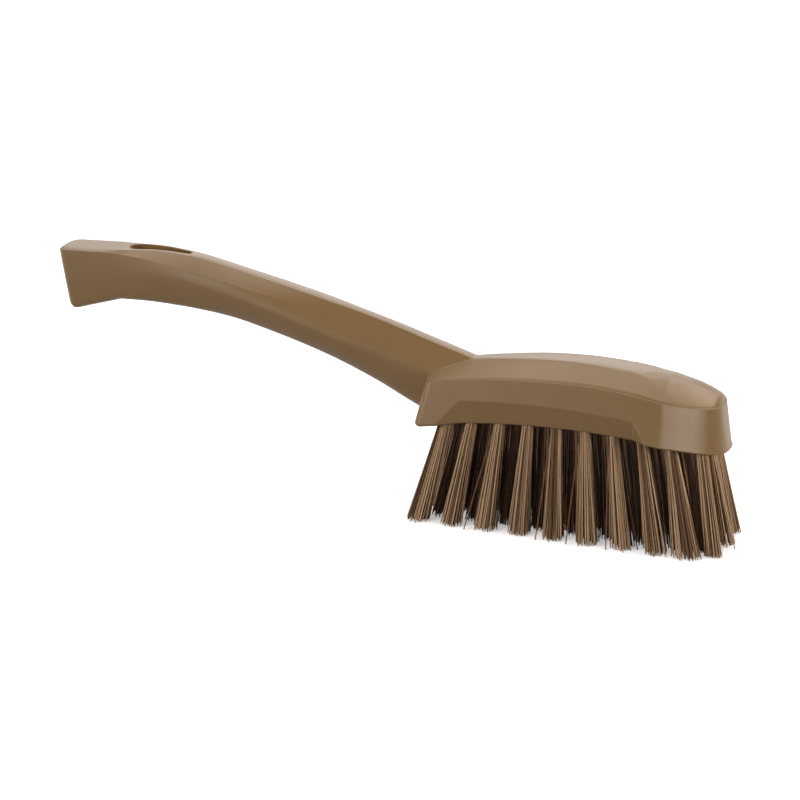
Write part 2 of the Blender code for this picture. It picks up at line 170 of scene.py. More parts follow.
# Handle, by its distance back from the valley where it meets the block's top.
VALLEY = -37.5
TOP_LINE = (
    (-6.5, 58.9),
    (0.0, 61.2),
    (16.3, 66.0),
    (30.6, 70.3),
    (45.0, 74.2),
    (66.5, 79.4),
    (96.5, 85.7),
    (111.0, 88.5),
    (120.0, 89.5),
    (130.0, 89.9),
    (142.5, 89.2),
    (154.0, 88.4),
    (170.4, 87.6),
)
UNDER_LINE = (
    (-6.5, 48.0),
    (4.0, 44.0),
    (12.0, 40.5),
    (18.7, 39.1),
    (22.3, 40.2),
    (37.5, 47.8),
    (52.1, 54.0),
    (66.9, 59.0),
    (83.8, 63.7),
    (96.5, 66.6),
    (111.5, 68.4),
    (130.0, 69.3),
    (143.9, 69.0),
)
TOE_DROP = 6.4
TOE_RADIUS = 4.2
END_SLANT = 0.165
STRIP_HALF_WIDTH = (
    (-6.5, 2.2),
    (16.0, 2.5),
    (45.0, 2.3),
    (60.0, 2.9),
    (111.0, 3.1),
    (130.0, 4.0),
    (145.0, 5.4),
    (169.6, 5.6),
)
BEVEL_HALF_WIDTH = (
    (-6.5, 4.5),
    (16.0, 4.8),
    (45.0, 5.4),
    (67.0, 6.8),
    (82.0, 7.9),
    (100.0, 8.5),
    (142.5, 8.2),
    (169.6, 7.8),
)
BEVEL_DROP = (
    (-6.5, 4.2),
    (45.0, 4.6),
    (96.5, 4.5),
    (113.0, 4.7),
    (129.5, 2.9),
    (142.5, 1.0),
    (150.0, 0.4),
    (169.6, 0.3),
)
BELLY_HALF_WIDTH = (
    (-6.5, 7.2),
    (16.0, 8.0),
    (52.0, 8.8),
    (96.5, 9.2),
    (130.0, 8.8),
    (150.0, 8.35),
    (169.6, 7.9),
)
BELLY_DROP = (
    (-6.5, 8.5),
    (16.0, 10.5),
    (45.0, 11.2),
    (96.5, 9.5),
    (169.6, 9.0),
)
FOOT_HALF_WIDTH = (
    (-6.5, 3.6),
    (20.0, 4.0),
    (52.0, 5.2),
    (96.5, 6.2),
    (130.0, 6.9),
    (169.6, 7.4),
)
FOOT_RADIUS = 3.0
STRIP_CROWN = 0.2
END_CORNER_RADIUS = 3.5
END_EDGE_RADIUS = 1.2
HANDLE_STEPS = 130
END_STEPS = 12

# How far along its sides each corner of the handle's section is cut, as a share. The bevel's edge goes from
# soft to crisp between two distances back.
SOFT = 0.25
CRISP = 0.04
BEVEL_FADES = (42.0, 88.0)

# Hanging slot, by its distance in from the hook end.
SLOT_END = 28.5
SLOT_LENGTH = 26.0
SLOT_WIDE_RADIUS = 3.6
SLOT_NARROW_RADIUS = 1.6
SLOT_STEPS = 16

# Heights between which the slot's cutter stands, clear of the hooked end.
SLOT_CUT = (55.0, 100.0)

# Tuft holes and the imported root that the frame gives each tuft.
HOLE_RADIUS = 2.3
HOLE_SIDES = 20
ROOT_PLUG_LENGTH = 11.0
HOLE_SHOWN_DEPTH = 5.0
TIP_PLANE_SLACK = 0.05

# Filaments: points down one, sides round one, and the angle from which its cut end is a sharp edge.
FILAMENT_STEPS = 5
FILAMENT_SIDES = 5
CUT_EDGE = math.radians(75)

# Filaments in their hole: how far in from its wall the outermost lie, in filaments, and the share of its shown
# depth that they fill.
PACKING = 0.7
ROOT_SHARE = 0.8

# Filaments below the block: how late they spread, how far they bow, how far a stray stands out, and the largest
# difference in height between trimmed tips, as a multiple of the usual one.
FLARE = 1.12
BOW = 0.09
STRAY_OUT = (1.0, 2.2)
UNEVEN_LIMIT = 4

# How much wider along the brush than across it a tuft in the nose fans out.
NOSE_FAN = 1.35

# Filaments that stand right out of their tuft: where they leave the hole, as a share of its radius back and
# towards the near side, how far their tips lie towards the near side from the middle of the tuft, and how far
# back towards the handle.
STRAY_ROOT = 0.6
STRAY_NEAR = 4.0
STRAY_REACH = {
    "tuft_outer_near_03": 7.1,
    "tuft_outer_near_05": 5.5,
    "tuft_outer_near_06": 7.0,
    "tuft_outer_near_07": 5.0,
}

# Polypropylene: how the flow clouds vary its colour and its grain varies its roughness, and the grain's relief.
CLOUD_TONES = (0.94, 1.05)
GRAIN_ROUGHNESS = (-0.04, 0.05)
GRAIN_STRENGTH = 0.12
GRAIN_HEIGHT = 0.02

# Polyester: where the middle shade lies between the darkest and the lightest, and the size and depth of the
# mottle down a strand.
MIDDLE_SHADE = 0.42
MOTTLE_LENGTH = 3.0
MOTTLE_TONES = (0.9, 1.1)

# Paper: the size and depth of its clouds, and, in metres, the distances from the brush between which it
# brightens to white for the camera, and half the side of the sheet.
PAPER_CLOUD = 40.0
PAPER_TONE = 0.98
PAPER_WHITENS = (0.7, 1.4)
PAPER_HALF_SIZE = 4.0

# Camera: the point that it looks at, its sensor, and how far it sees, in metres.
CAMERA_AIM = (-58.4, -23.8, 49.2)
SENSOR_WIDTH = 36.0
FARTHEST_SEEN = 20.0

# Soft boxes, which face one point of the frame: where each hangs, in degrees round from the near side and in
# degrees up, its distance and its sides in metres, whether it shades the brush, and whether it shows as a gleam.
LAMP_AIM = (0.0, 0.0, 0.06)
LAMPS = {
    "top_light": (285.0, 78.0, 1.2, (0.7, 0.7), True, True),
    "back_light": (198.0, 24.0, 1.5, (0.9, 0.4), True, True),
    "high_light": (172.0, 52.0, 1.5, (0.8, 0.5), True, True),
    "far_light": (150.0, 38.0, 1.4, (0.9, 1.1), True, True),
    "end_light": (80.0, 14.0, 1.3, (0.7, 0.5), True, False),
    "hook_light": (-43.0, 14.0, 3.2, (1.2, 1.2), True, True),
    "slope_light": (234.0, 61.0, 1.2, (0.35, 0.35), False, True),
    "dome_light": (112.0, 62.0, 1.2, (0.7, 0.7), False, True),
    "nose_light": (29.0, 4.0, 1.3, (0.6, 0.2), False, True),
    "front_light": (-27.0, 3.0, 1.3, (0.3, 0.2), False, True),
}

# Where the block's datum lies along X in the frame.
DATUM_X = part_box(MOULDING_NODE)[1].x / MM - RIM_FRONT


def linear(hex_colour):
    """Linear colour of an sRGB hex value."""
    channels = [int(hex_colour[k : k + 2], 16) / 255 for k in (1, 3, 5)]
    return tuple(c / 12.92 if c <= 0.04045 else ((c + 0.055) / 1.055) ** 2.4 for c in channels)


def mix(a, b, share):
    """The value one share of the way from a to b."""
    return a + (b - a) * share


def clamp(value):
    """The value, held between 0 and 1."""
    return min(max(value, 0.0), 1.0)


def smooth(points, at):
    """Height of a smooth curve through the points, which are (distance, value), at one distance."""
    last = len(points) - 1
    if at <= points[0][0]:
        return points[0][1]
    if at >= points[last][0]:
        return points[last][1]
    i = max(k for k in range(last) if points[k][0] <= at)

    def slope(k):
        before, after = points[max(k - 1, 0)], points[min(k + 1, last)]
        return (after[1] - before[1]) / (after[0] - before[0])

    (x0, y0), (x1, y1) = points[i], points[i + 1]
    span = x1 - x0
    t = (at - x0) / span
    start = (1 + 2 * t) * (1 - t) ** 2 * y0 + t * (1 - t) ** 2 * span * slope(i)
    end = t * t * (3 - 2 * t) * y1 - t * t * (1 - t) * span * slope(i + 1)
    return start + end


def to_frame(x, y, z):
    """A point of the tables, in the frame's metres."""
    return Vector(((x + DATUM_X) * MM, y * MM, z * MM))


def make_object(name, bm):
    """Turns a bmesh into an object with outward faces."""
    bmesh.ops.recalc_face_normals(bm, faces=bm.faces)
    mesh = bpy.data.meshes.new(name)
    bm.to_mesh(mesh)
    bm.free()
    obj = bpy.data.objects.new(name, mesh)
    bpy.context.scene.collection.objects.link(obj)
    return obj


def apply_modifiers(obj):
    """Fixes what an object's modifiers make of its mesh."""
    graph = bpy.context.evaluated_depsgraph_get()
    made = bpy.data.meshes.new_from_object(obj.evaluated_get(graph))
    obj.modifiers.clear()
    obj.data = made


def combine(obj, tool, operation):
    """Cuts the tool out of the object, or runs the two together, and removes the tool."""
    step = obj.modifiers.new("combine", "BOOLEAN")
    step.operation = operation
    step.solver = "EXACT"
    step.object = tool
    apply_modifiers(obj)
    bpy.data.objects.remove(tool, do_unlink=True)


def bridge(bm, lower, upper):
    """A band of faces between two closed rings of as many vertices."""
    count = len(lower)
    for i in range(count):
        j = (i + 1) % count
        bm.faces.new((lower[i], lower[j], upper[j], upper[i]))


def bridge_proud(bm, lower, upper):
    """A band of triangles between two rings, split so that every ridge between their corners stands proud."""
    count = len(lower)
    for i in range(count):
        j = (i + 1) % count
        a, b, c, d = lower[i], lower[j], upper[j], upper[i]
        rising, falling = (a.co + c.co) / 2, (b.co + d.co) / 2
        if math.hypot(rising.y, rising.z - SPINE * MM) >= math.hypot(falling.y, falling.z - SPINE * MM):
            corners = ((a, b, c), (a, c, d))
        else:
            corners = ((a, b, d), (b, c, d))
        for three in corners:
            bm.faces.new(three)


def rim_height(x):
    """Height of the block's arched lower edge."""
    return RIM_HEIGHT - (x - RIM_CREST) ** 2 / (2 * RIM_ARCH_RADIUS)


def bezier(a, b, c, d, t):
    """A point on a cubic curve in plan."""
    u = 1 - t
    weights = (u**3, 3 * u * u * t, 3 * u * t * t, t**3)
    return tuple(sum(w * p[k] for w, p in zip(weights, (a, b, c, d))) for k in (0, 1))


def side_places():
    """Distances along the straight side at which the block has a rib, from the first ramp to the nose."""
    first, last = RECESS_REAR - RECESS_REAR_RAMP, RECESS_FRONT + RECESS_FRONT_RAMP
    ends = [first, RECESS_REAR, RECESS_FRONT, last, NOSE_START]
    counts = (WALL_STEPS, GRIP_STEPS, WALL_STEPS, CHEEK_STEPS)
    places = ends[:1]
    for first, last, count in zip(ends, ends[1:], counts):
        places += [mix(first, last, k / count) for k in range(1, count + 1)]
    return places


def half_outline(rear, half_width, front, nose_half_width, corner):
    """One side of a ring in plan, (x, distance out), from its rear centre to its front centre."""
    points = [(rear, half_width * REAR_SHARE * k / REAR_STEPS) for k in range(REAR_STEPS)]
    for k in range(CORNER_STEPS + 1):
        angle = math.pi / 2 * k / CORNER_STEPS
        out = half_width - corner + corner * math.sin(angle)
        points.append((rear + corner - corner * math.cos(angle), out))
    heel = [mix(rear + corner, side_places()[0], k / HEEL_STEPS) for k in range(1, HEEL_STEPS)]
    points += [(x, half_width) for x in heel + side_places()]
    start = (NOSE_START, half_width)
    turn = (NOSE_START + NOSE_CORNER_REACH, nose_half_width)
    blunt = (front, nose_half_width * NOSE_BLUNTNESS)
    steps = range(1, NOSE_STEPS + 1)
    return points + [bezier(start, turn, blunt, (front, 0.0), k / NOSE_STEPS) for k in steps]


def top_outline(shoulder):
    """The edge of the top, matched point for point to the shoulder below: (x, distance out, height)."""
    widths = [(x, w) for x, w, _ in TOP_FACET]
    heights = [(x, h) for x, _, h in TOP_FACET]
    rear = REAR_STEPS + CORNER_STEPS
    points = [(TOP_REAR, TOP_FACET[0][1] * k / rear, TOP_FACET[0][2]) for k in range(rear + 1)]
    along = [mix(TOP_REAR, side_places()[0], k / HEEL_STEPS) for k in range(1, HEEL_STEPS)]
    points += [(x, smooth(widths, x), smooth(heights, x)) for x in along + side_places()]
    for point in shoulder[len(points) :]:
        reach = point.x - NOSE_START
        share = reach / (NOSE_LINE[-1][0] - NOSE_START)
        x = NOSE_START + reach * (1 - NOSE_EDGE_INSET * share)
        out = point.y * min(mix(*NOSE_EDGE_SHARES, side_faded(x)), NOSE_RIB_SHARE)
        points.append((x, out, nose_height(x, out, shoulder)))
    return points


def crown(x):
    """How far the middle of the top stands above the facet's edge, at one distance along."""
    return TOP_CROWN + NOSE_CROWN * clamp((x - RECESS_FRONT) / CROWN_RISE_LENGTH)


def side_faded(x):
    """How far the nose's flat side has run out at one distance along, from 0 to 1."""
    return clamp((x - NOSE_START) / (NOSE_SIDES_END - NOSE_START))


def nose_height(x, out, shoulder):
    """Height of the nose's top: a dome down to the shoulder, with flat sides where it starts."""
    after = next(k for k, p in enumerate(shoulder) if p.x >= min(x, shoulder[-1].x) and k)
    before, after = shoulder[after - 1], shoulder[after]
    edge = before.lerp(after, clamp((x - before.x) / (after.x - before.x)))
    turn = mix(*NOSE_EDGE_SHARES, side_faded(x))
    out = clamp(out / max(edge.y, TINY))
    dome = 1 - out**2
    side = (1 + turn) * (1 - out)
    blend = NOSE_BLEND * side_faded(x) * (1 - out)
    near = max(blend - abs(dome - side), 0.0)
    rise = min(dome, side) - (near**2 / (4 * blend) if blend else 0.0)
    return edge.z + rise * (smooth(NOSE_LINE, x) - edge.z)


def recess_depth(x, up):
    """Depth of the grip recess at one distance along and one share of its rise, less the bead on its edge."""
    rear = (RECESS_REAR - x) / RECESS_REAR_RAMP
    front = (x - RECESS_FRONT) / RECESS_FRONT_RAMP
    within = 1 - up - max(rear, front, 0.0)
    return -BEAD_HEIGHT if abs(within) < TINY and rear <= 0 else RECESS_DEPTH * max(0.0, within)


def block_column(low, high, end, shoulder, edge_round):
    """Points up the block at one place on its outline, from the underside to the middle of its top."""
    middle = (RIM_REAR + RIM_FRONT) / 2
    away = Vector(((low.x - middle) / (RIM_FRONT - middle), low.y / RIM_HALF_WIDTH, 0.0))
    along = clamp((low.x - RECESS_REAR) / (RECESS_FRONT - RECESS_REAR))
    wall = high.z - low.z
    rise = mix(RECESS_RISE_REAR, RECESS_RISE_FRONT, along) / wall
    column = [low - away * edge_round - Vector((0.0, max(recess_depth(low.x, 0.0), 0.0), 0.0))]
    first, last = low + Vector((0.0, 0.0, edge_round)), low.lerp(high, rise)
    for k in range(WALL_STEPS + 1):
        up = k / WALL_STEPS
        column.append(first.lerp(last, up) - Vector((0.0, recess_depth(low.x, up), 0.0)))
    if low.x > RECESS_FRONT + RECESS_FRONT_RAMP:
        column[1] += away * BEAD_HEIGHT
    column += [low.lerp(high, rise + BEAD_WIDTH / wall), low.lerp(high, 1 - edge_round / wall)]
    inward = (end - high).normalized()
    foot, last = high + inward * GROOVE_END, end - inward * edge_round
    roof = [foot.lerp(last, k / ROOF_STEPS) for k in range(ROOF_STEPS + 1)]
    flat = 1 - min(EDGE_SHARE, edge_round / max(end.y, edge_round))
    for k in range(CROWN_STEPS + 1):
        out = flat * (1 - k / CROWN_STEPS)
        roof.append(Vector((end.x, end.y * out, end.z + crown(end.x) * (1 - out * out))))
    if low.x > NOSE_START + TINY:
        for point in roof:
            point.z = nose_height(point.x, point.y, shoulder)
    lip, groove = high + inward * LIP_WIDTH, high + inward * GROOVE_REACH
    groove.z = min(high.z, foot.z) - GROOVE_DEPTH
    return [*column, lip, groove, *roof]


def mirrored(half):
    """A closed ring from its half: down one side and back along the other."""
    return half + [Vector((p.x, -p.y, p.z)) for p in half[-2:0:-1]]


def add_across(bm, ring):
    """Closes a ring with faces that run across it, by way of a spine down its middle."""
    last = len(ring) // 2
    near = ring[: last + 1]
    far = [ring[0], *reversed(ring[last + 1 :]), ring[last]]
    reach = near[0].co.x + REAR_CORNER_RADIUS * 2 * MM
    first = next(i for i, v in enumerate(near) if v.co.x > reach)
    spine = [bm.verts.new((v.co.x, 0.0, v.co.z)) for v in near[first:last]]
    middle = [near[0], *[spine[0]] * (first - 1), *spine, near[last]]
    for i in range(last):
        for side in (near, far):
            corners = (middle[i], middle[i + 1], side[i + 1], side[i])
            bm.faces.new(list(dict.fromkeys(corners)))


def make_block(edge_round):
    """The arched block: drafted wall, grip recesses, sloping shoulders and domed nose."""
    rim = half_outline(RIM_REAR, RIM_HALF_WIDTH, RIM_FRONT, NOSE_HALF_WIDTH, REAR_CORNER_RADIUS)
    rear, rear_width = RIM_REAR + REAR_DRAFT, RIM_HALF_WIDTH - SIDE_DRAFT
    front, nose_width = RIM_FRONT - FRONT_DRAFT, NOSE_HALF_WIDTH - SIDE_DRAFT
    shoulder = half_outline(rear, rear_width, front, nose_width, REAR_CORNER_RADIUS)
    lows = [Vector((x, y, rim_height(x))) for x, y in rim]
    highs = [Vector((x, y, smooth(SHOULDER_LINE, x))) for x, y in shoulder]
    ends = [Vector(point) for point in top_outline(highs)]
    for high, end in zip(highs, ends):
        if high.x < TOP_REAR:
            high.z = mix(end.z - edge_round, high.z, clamp(high.y / rear_width))
    for k, (low, high) in enumerate(zip(lows, highs)):
        lows[k] = low.lerp(high, rounding(low.x - RIM_REAR, HEEL_RADIUS) / (high.z - low.z))
    columns = [block_column(*place, highs, edge_round) for place in zip(lows, highs, ends)]
    bm = bmesh.new()
    rings = [[bm.verts.new(to_frame(*p)) for p in mirrored(list(half))] for half in zip(*columns)]
    for lower, upper in zip(rings, rings[1:]):
        bridge_proud(bm, lower, upper)
    add_across(bm, rings[0])
    bmesh.ops.remove_doubles(bm, verts=bm.verts, dist=TINY * MM)
    return make_object("block", bm)


def handle_section(at):
    """Half of the handle's section at one distance back, with its height and its slant.

    Each corner is (distance out, drop below the top line, share of its sides that is cut). A corner between two
    of the tables lies at a share of the way from one to the other.
    """
    top = smooth(TOP_LINE, at)
    corner, end = UNDER_LINE[-1][0], TOP_LINE[-1][0]
    slant = END_SLANT * max(0.0, (at - corner) / (end - corner))
    under_at = at - slant * (top - UNDER_LINE[-1][1])
    if under_at > corner:
        bottom = UNDER_LINE[-1][1] - TOE_DROP * (under_at - corner) / (end - corner - TOE_RADIUS)
    else:
        bottom = smooth(UNDER_LINE, under_at)
    bottom += rounding(end - at, TOE_RADIUS)
    top -= rounding(end - at, END_EDGE_RADIUS)
    depth = top - bottom
    strip = smooth(STRIP_HALF_WIDTH, at)
    bevel, bevel_drop = smooth(BEVEL_HALF_WIDTH, at), smooth(BEVEL_DROP, at)
    belly, belly_drop = smooth(BELLY_HALF_WIDTH, at), smooth(BELLY_DROP, at)
    foot = smooth(FOOT_HALF_WIDTH, at)
    heel = depth - FOOT_RADIUS
    softness = mix(SOFT, CRISP, clamp((at - BEVEL_FADES[0]) / (BEVEL_FADES[1] - BEVEL_FADES[0])))
    narrowing = 1 - rounding(end - at, END_CORNER_RADIUS) / belly
    half = [
        (0.0, -STRIP_CROWN, SOFT),
        (strip * 0.6, -STRIP_CROWN * 0.6, SOFT),
        (strip, 0.0, CRISP),
        (mix(strip, bevel, 0.5), bevel_drop * 0.45, SOFT),
        (bevel, bevel_drop, softness),
        (mix(bevel, belly, 0.62), mix(bevel_drop, belly_drop, 0.45), SOFT),
        (belly, belly_drop, SOFT),
        (mix(belly, foot, 0.22), mix(belly_drop, heel, 0.55), SOFT),
        (mix(belly, foot, 0.62), heel, SOFT),
        (foot, depth - FOOT_RADIUS * 0.3, SOFT),
        (foot * 0.6, depth, SOFT),
        (0.0, depth, SOFT),
    ]
    return [(out * narrowing, drop, share) for out, drop, share in half], top, slant


def rounding(to_edge, radius):
    """How far a quarter-round of one radius has turned in, at one distance from the edge."""
    return radius - math.sqrt(radius**2 - (radius - min(max(to_edge, 0.0), radius)) ** 2)


def corners_cut(points):
    """Replaces each corner but the ends by two points, each its share of the way along a side."""
    made = [points[0]]
    for before, here, after in zip(points, points[1:], points[2:]):
        share = here[2]
        for other in (before, after):
            made.append((mix(here[0], other[0], share), mix(here[1], other[1], share), share))
    return [*made, points[-1]]


def handle_stations():
    """Distances back at which the handle has a rib, closer together where its end is rounded."""
    buried, end = TOP_LINE[0][0], TOP_LINE[-1][0]
    grip = [mix(buried, end - END_CORNER_RADIUS, k / HANDLE_STEPS) for k in range(HANDLE_STEPS)]
    turns = [math.pi / 2 * k / END_STEPS for k in range(END_STEPS + 1)]
    return grip + [end - END_CORNER_RADIUS * (1 - math.sin(turn)) for turn in turns]


def make_handle():
    """The curved handle, from its root inside the block to its hooked end."""
    bm = bmesh.new()
    rings = []
    for at in handle_stations():
        half, top, slant = handle_section(at)
        half = corners_cut(corners_cut(half))
        points = [(out, drop) for out, drop, _ in half]
        points += [(-out, drop) for out, drop in points[-2:0:-1]]
        places = [to_frame(VALLEY - at + slant * drop, out, top - drop) for out, drop in points]
        rings.append([bm.verts.new(place) for place in places])
    for first, second in zip(rings, rings[1:]):
        bridge(bm, first, second)
    bm.faces.new(rings[0])
    bm.faces.new(rings[-1])
    return make_object("handle", bm)


def slot_cutter():
    """The hanging slot: two round ends of unlike radius, joined by straight sides."""
    bm = bmesh.new()
    end = VALLEY - TOP_LINE[-1][0]
    wide = end + SLOT_END + SLOT_WIDE_RADIUS
    narrow = end + SLOT_END + SLOT_LENGTH - SLOT_NARROW_RADIUS
    lean = math.asin((SLOT_WIDE_RADIUS - SLOT_NARROW_RADIUS) / (narrow - wide))
    outline = []
    for centre, radius, first, last in (
        (wide, SLOT_WIDE_RADIUS, math.pi / 2 - lean, 3 * math.pi / 2 + lean),
        (narrow, SLOT_NARROW_RADIUS, -math.pi / 2 + lean, math.pi / 2 - lean),
    ):
        angles = [mix(first, last, k / SLOT_STEPS) for k in range(SLOT_STEPS + 1)]
        outline += [(centre + radius * math.cos(a), radius * math.sin(a)) for a in angles]
    rings = [[bm.verts.new(to_frame(x, y, z)) for x, y in outline] for z in SLOT_CUT]
    bridge(bm, *rings)
    for ring in rings:
        bm.faces.new(ring)
    return make_object("slot_cutter", bm)


def tuft_names():
    """Names of the frame's tuft nodes, in order."""
    return sorted(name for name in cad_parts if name.startswith("tuft_"))


def tuft_line(name):
    """A tuft's mouth in the block, the middle of its tips, and how far the tips reach from that."""
    places = [vert.co.copy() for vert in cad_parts[name].data.vertices]
    tips = [p for p in places if p.z < TIP_PLANE_SLACK * MM]
    crown = max(p.z for p in places)
    folds = [p for p in places if p.z > crown - HOLE_RADIUS * MM]
    fold = sum(folds, Vector()) / len(folds)
    tip = sum(tips, Vector()) / len(tips)
    axis = (tip - fold).normalized()
    return fold + axis * ROOT_PLUG_LENGTH * MM, tip, max((p - tip).length for p in tips)


def ring_about(centre, axis, radius, sides):
    """Points of a regular polygon about an axis."""
    across = axis.cross(Vector((0.0, 1.0, 0.0))).normalized()
    up = axis.cross(across)
    angles = [2 * math.pi * k / sides for k in range(sides)]
    return [centre + radius * (across * math.cos(a) + up * math.sin(a)) for a in angles]


def hole_cutters():
    """The mouths of all the tuft holes, as deep as the tufts let anyone see."""
    bm = bmesh.new()
    for name in tuft_names():
        mouth, tip, _ = tuft_line(name)
        axis = (tip - mouth).normalized()
        rings = []
        for along in (HOLE_SHOWN_DEPTH, -HOLE_SHOWN_DEPTH):
            ring = ring_about(mouth + axis * along * MM, axis, HOLE_RADIUS * MM, HOLE_SIDES)
            rings.append([bm.verts.new(point) for point in ring])
        bridge(bm, *rings)
        for ring in rings:
            bm.faces.new(ring)
    return make_object("hole_cutters", bm)


def add_node(tree, kind, inputs=(), links=(), **settings):
    """Adds one node with its settings, its socket values and its links."""
    made = tree.nodes.new(kind)
    for key, value in settings.items():
        setattr(made, key, value)
    for socket, value in dict(inputs).items():
        made.inputs[socket].default_value = value
    for socket, source in dict(links).items():
        tree.links.new(source, made.inputs[socket])
    return made


def per_mm(size_mm):
    """Texture scale, in object coordinates of metres, for features of one real size."""
    return 1.0 / (size_mm * MM)


def start_material(name):
    """An empty node material with its Principled shader and the object's own coordinates."""
    made = bpy.data.materials.new(name)
    made.use_nodes = True
    tree = made.node_tree
    shader = tree.nodes["Principled BSDF"]
    place = add_node(tree, "ShaderNodeTexCoord").outputs["Object"]
    return made, tree, shader, place


def moulded_polypropylene(look):
    """Polypropylene, injection moulded in a spark-eroded mould: a satin sheen and faint flow clouds."""
    made, tree, shader, place = start_material("moulded_polypropylene")
    shader.inputs["IOR"].default_value = 1.49
    # The fine grain of the mould breaks up the gleam, so it is weaker than on polished plastic.
    shader.inputs["Specular IOR Level"].default_value = 0.35
    clouds = add_node(
        tree,
        "ShaderNodeTexNoise",
        {"Scale": per_mm(look.flow_mark / MM), "Detail": 3.0, "Roughness": 0.5},
        {"Vector": place},
    )
    dark, light = ((*(c * tone for c in look.colour), 1.0) for tone in CLOUD_TONES)
    # A mix node for colours takes them at sockets 6 and 7 and gives its result at 2.
    links = {"Factor": clouds.outputs["Fac"]}
    tone = add_node(tree, "ShaderNodeMix", {6: dark, 7: light}, links, data_type="RGBA")
    tree.links.new(tone.outputs[2], shader.inputs["Base Color"])
    grain = add_node(
        tree,
        "ShaderNodeTexNoise",
        {"Scale": per_mm(look.grain / MM), "Detail": 2.0, "Roughness": 0.6},
        {"Vector": place},
    )
    roughness = add_node(
        tree,
        "ShaderNodeMapRange",
        {"To Min": look.roughness + GRAIN_ROUGHNESS[0], "To Max": look.roughness + GRAIN_ROUGHNESS[1]},
        {"Value": grain.outputs["Fac"]},
    )
    tree.links.new(roughness.outputs["Result"], shader.inputs["Roughness"])
    bump = add_node(
        tree,
        "ShaderNodeBump",
        {"Strength": GRAIN_STRENGTH, "Distance": GRAIN_HEIGHT * MM},
        {"Height": grain.outputs["Fac"]},
    )
    tree.links.new(bump.outputs["Normal"], shader.inputs["Normal"])
    return made


def drawn_polyester(look):
    """Drawn polyester monofilament: each strand its own shade, with a soft shine along its length."""
    made, tree, shader, place = start_material("drawn_polyester_filament")
    shader.inputs["IOR"].default_value = 1.57
    shader.inputs["Roughness"].default_value = 0.48
    # The strands shade one another, so little of the bright room is mirrored in them.
    shader.inputs["Specular IOR Level"].default_value = 0.1
    strand = add_node(tree, "ShaderNodeNewGeometry").outputs["Random Per Island"]
    shades = add_node(tree, "ShaderNodeValToRGB", links={"Fac": strand})
    shades.color_ramp.elements[0].color = (*look.dark, 1.0)
    shades.color_ramp.elements[1].color = (*look.light, 1.0)
    middle = shades.color_ramp.elements.new(0.5)
    middle.color = (*(mix(a, b, MIDDLE_SHADE) for a, b in zip(look.dark, look.light)), 1.0)
    mottle = add_node(
        tree,
        "ShaderNodeTexNoise",
        {"Scale": per_mm(MOTTLE_LENGTH), "Detail": 2.0},
        {"Vector": place},
    )
    level = add_node(
        tree,
        "ShaderNodeMapRange",
        {"To Min": MOTTLE_TONES[0], "To Max": MOTTLE_TONES[1]},
        {"Value": mottle.outputs["Fac"]},
    )
    toned = add_node(
        tree,
        "ShaderNodeVectorMath",
        links={0: shades.outputs["Color"], "Scale": level.outputs["Result"]},
        operation="SCALE",
    )
    tree.links.new(toned.outputs["Vector"], shader.inputs["Base Color"])
    return made


def seen_directly(tree):
    """1 for what the camera sees, also in gloss and through glass, and 0 for light that lands on things."""
    path = add_node(tree, "ShaderNodeLightPath")
    links = {0: path.outputs["Is Camera Ray"], 1: path.outputs["Is Transmission Ray"]}
    clear = add_node(tree, "ShaderNodeMath", links=links, operation="MAXIMUM")
    links = {0: clear.outputs[0], 1: path.outputs["Is Glossy Ray"]}
    return add_node(tree, "ShaderNodeMath", links=links, operation="MAXIMUM").outputs[0]


def matt_studio_paper(look):
    """Matt studio paper: plain and pale, and burnt out to white wherever the brush doesn't shade it.

    The glow rises with the distance from the brush, so that the paper stays white where the lamps don't reach.
    """
    made, tree, shader, place = start_material("matt_studio_paper")
    shader.inputs["Roughness"].default_value = 0.9
    shader.inputs["Specular IOR Level"].default_value = 0.0
    seen = seen_directly(tree)
    fibre = add_node(tree, "ShaderNodeTexNoise", {"Scale": per_mm(PAPER_CLOUD)}, {"Vector": place})
    shade = add_node(
        tree,
        "ShaderNodeMapRange",
        {"To Min": look.paper_shade * PAPER_TONE, "To Max": look.paper_shade},
        {"Value": fibre.outputs["Fac"]},
    )
    links = {0: seen, 1: shade.outputs["Result"]}
    level = add_node(tree, "ShaderNodeMath", links=links, operation="MAXIMUM")
    links = dict.fromkeys(("Red", "Green", "Blue"), level.outputs[0])
    white = add_node(tree, "ShaderNodeCombineColor", links=links)
    tree.links.new(white.outputs["Color"], shader.inputs["Base Color"])
    shader.inputs["Emission Color"].default_value = (1.0, 1.0, 1.0, 1.0)
    away = add_node(tree, "ShaderNodeVectorMath", links={0: place}, operation="LENGTH")
    near, far = PAPER_WHITENS
    glow = add_node(
        tree,
        "ShaderNodeMapRange",
        {"From Min": near, "From Max": far, "To Min": look.paper_glow, "To Max": 1.0},
        {"Value": away.outputs["Value"]},
    )
    links = {0: seen, 1: glow.outputs["Result"]}
    burnt = add_node(tree, "ShaderNodeMath", links=links, operation="MULTIPLY")
    tree.links.new(burnt.outputs[0], shader.inputs["Emission Strength"])
    return made


